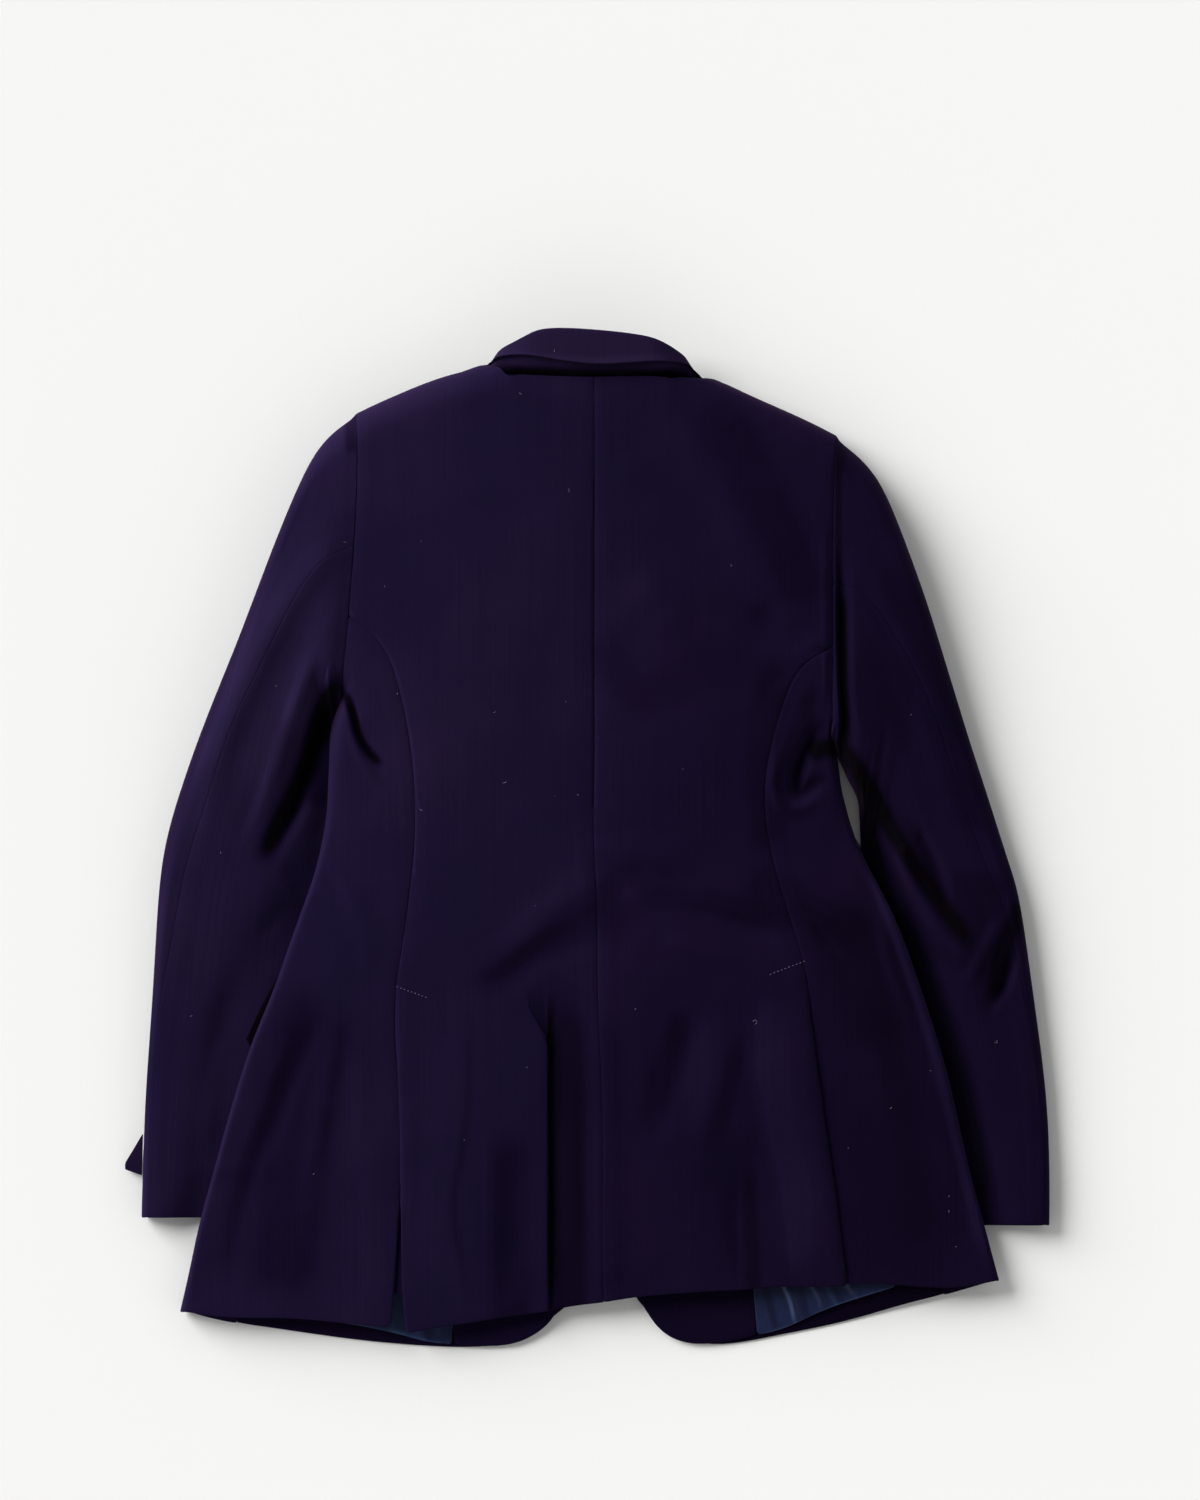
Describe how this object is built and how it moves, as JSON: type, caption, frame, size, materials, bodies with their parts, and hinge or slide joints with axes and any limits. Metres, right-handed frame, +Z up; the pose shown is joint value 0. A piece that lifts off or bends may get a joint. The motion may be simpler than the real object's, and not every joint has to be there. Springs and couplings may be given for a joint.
{
  "type": "blazer laid flat",
  "caption": "Slim tailored blazer, buttoned and laid flat face down: curved back seams, side vents, a pleat beside the back seam, two-piece sleeves and a folded collar.",
  "frame": {"origin": "middle of the garment's base, on the surface it lies on", "axes": "+X to the right seen from above, +Y from the hem to the collar, +Z up; the back faces up"},
  "size_m": [0.7222, 0.796, 0.0368],
  "materials": {
    "wool": "fine twill, soft",
    "lining": "satin",
    "button": "polished"
  },
  "bodies": {
    "root": {"back_left": "wool", "back_right": "wool", "side_left": "wool", "side_right": "wool", "front_left": "wool", "front_right": "wool", "lapel_left": "wool", "lapel_right": "wool", "facing_left": "wool", "facing_right": "wool", "top_sleeve_left": "wool", "top_sleeve_right": "wool", "under_sleeve_left": "wool", "under_sleeve_right": "wool", "cuff_corner_left": "wool", "collar": "wool", "pocket_flap_left": "wool", "pocket_flap_right": "wool", "vent_underlap_left": "wool", "vent_underlap_right": "wool", "lining_left": "lining", "lining_right": "lining", "front_button": "button"}
  },
  "joints": []
}
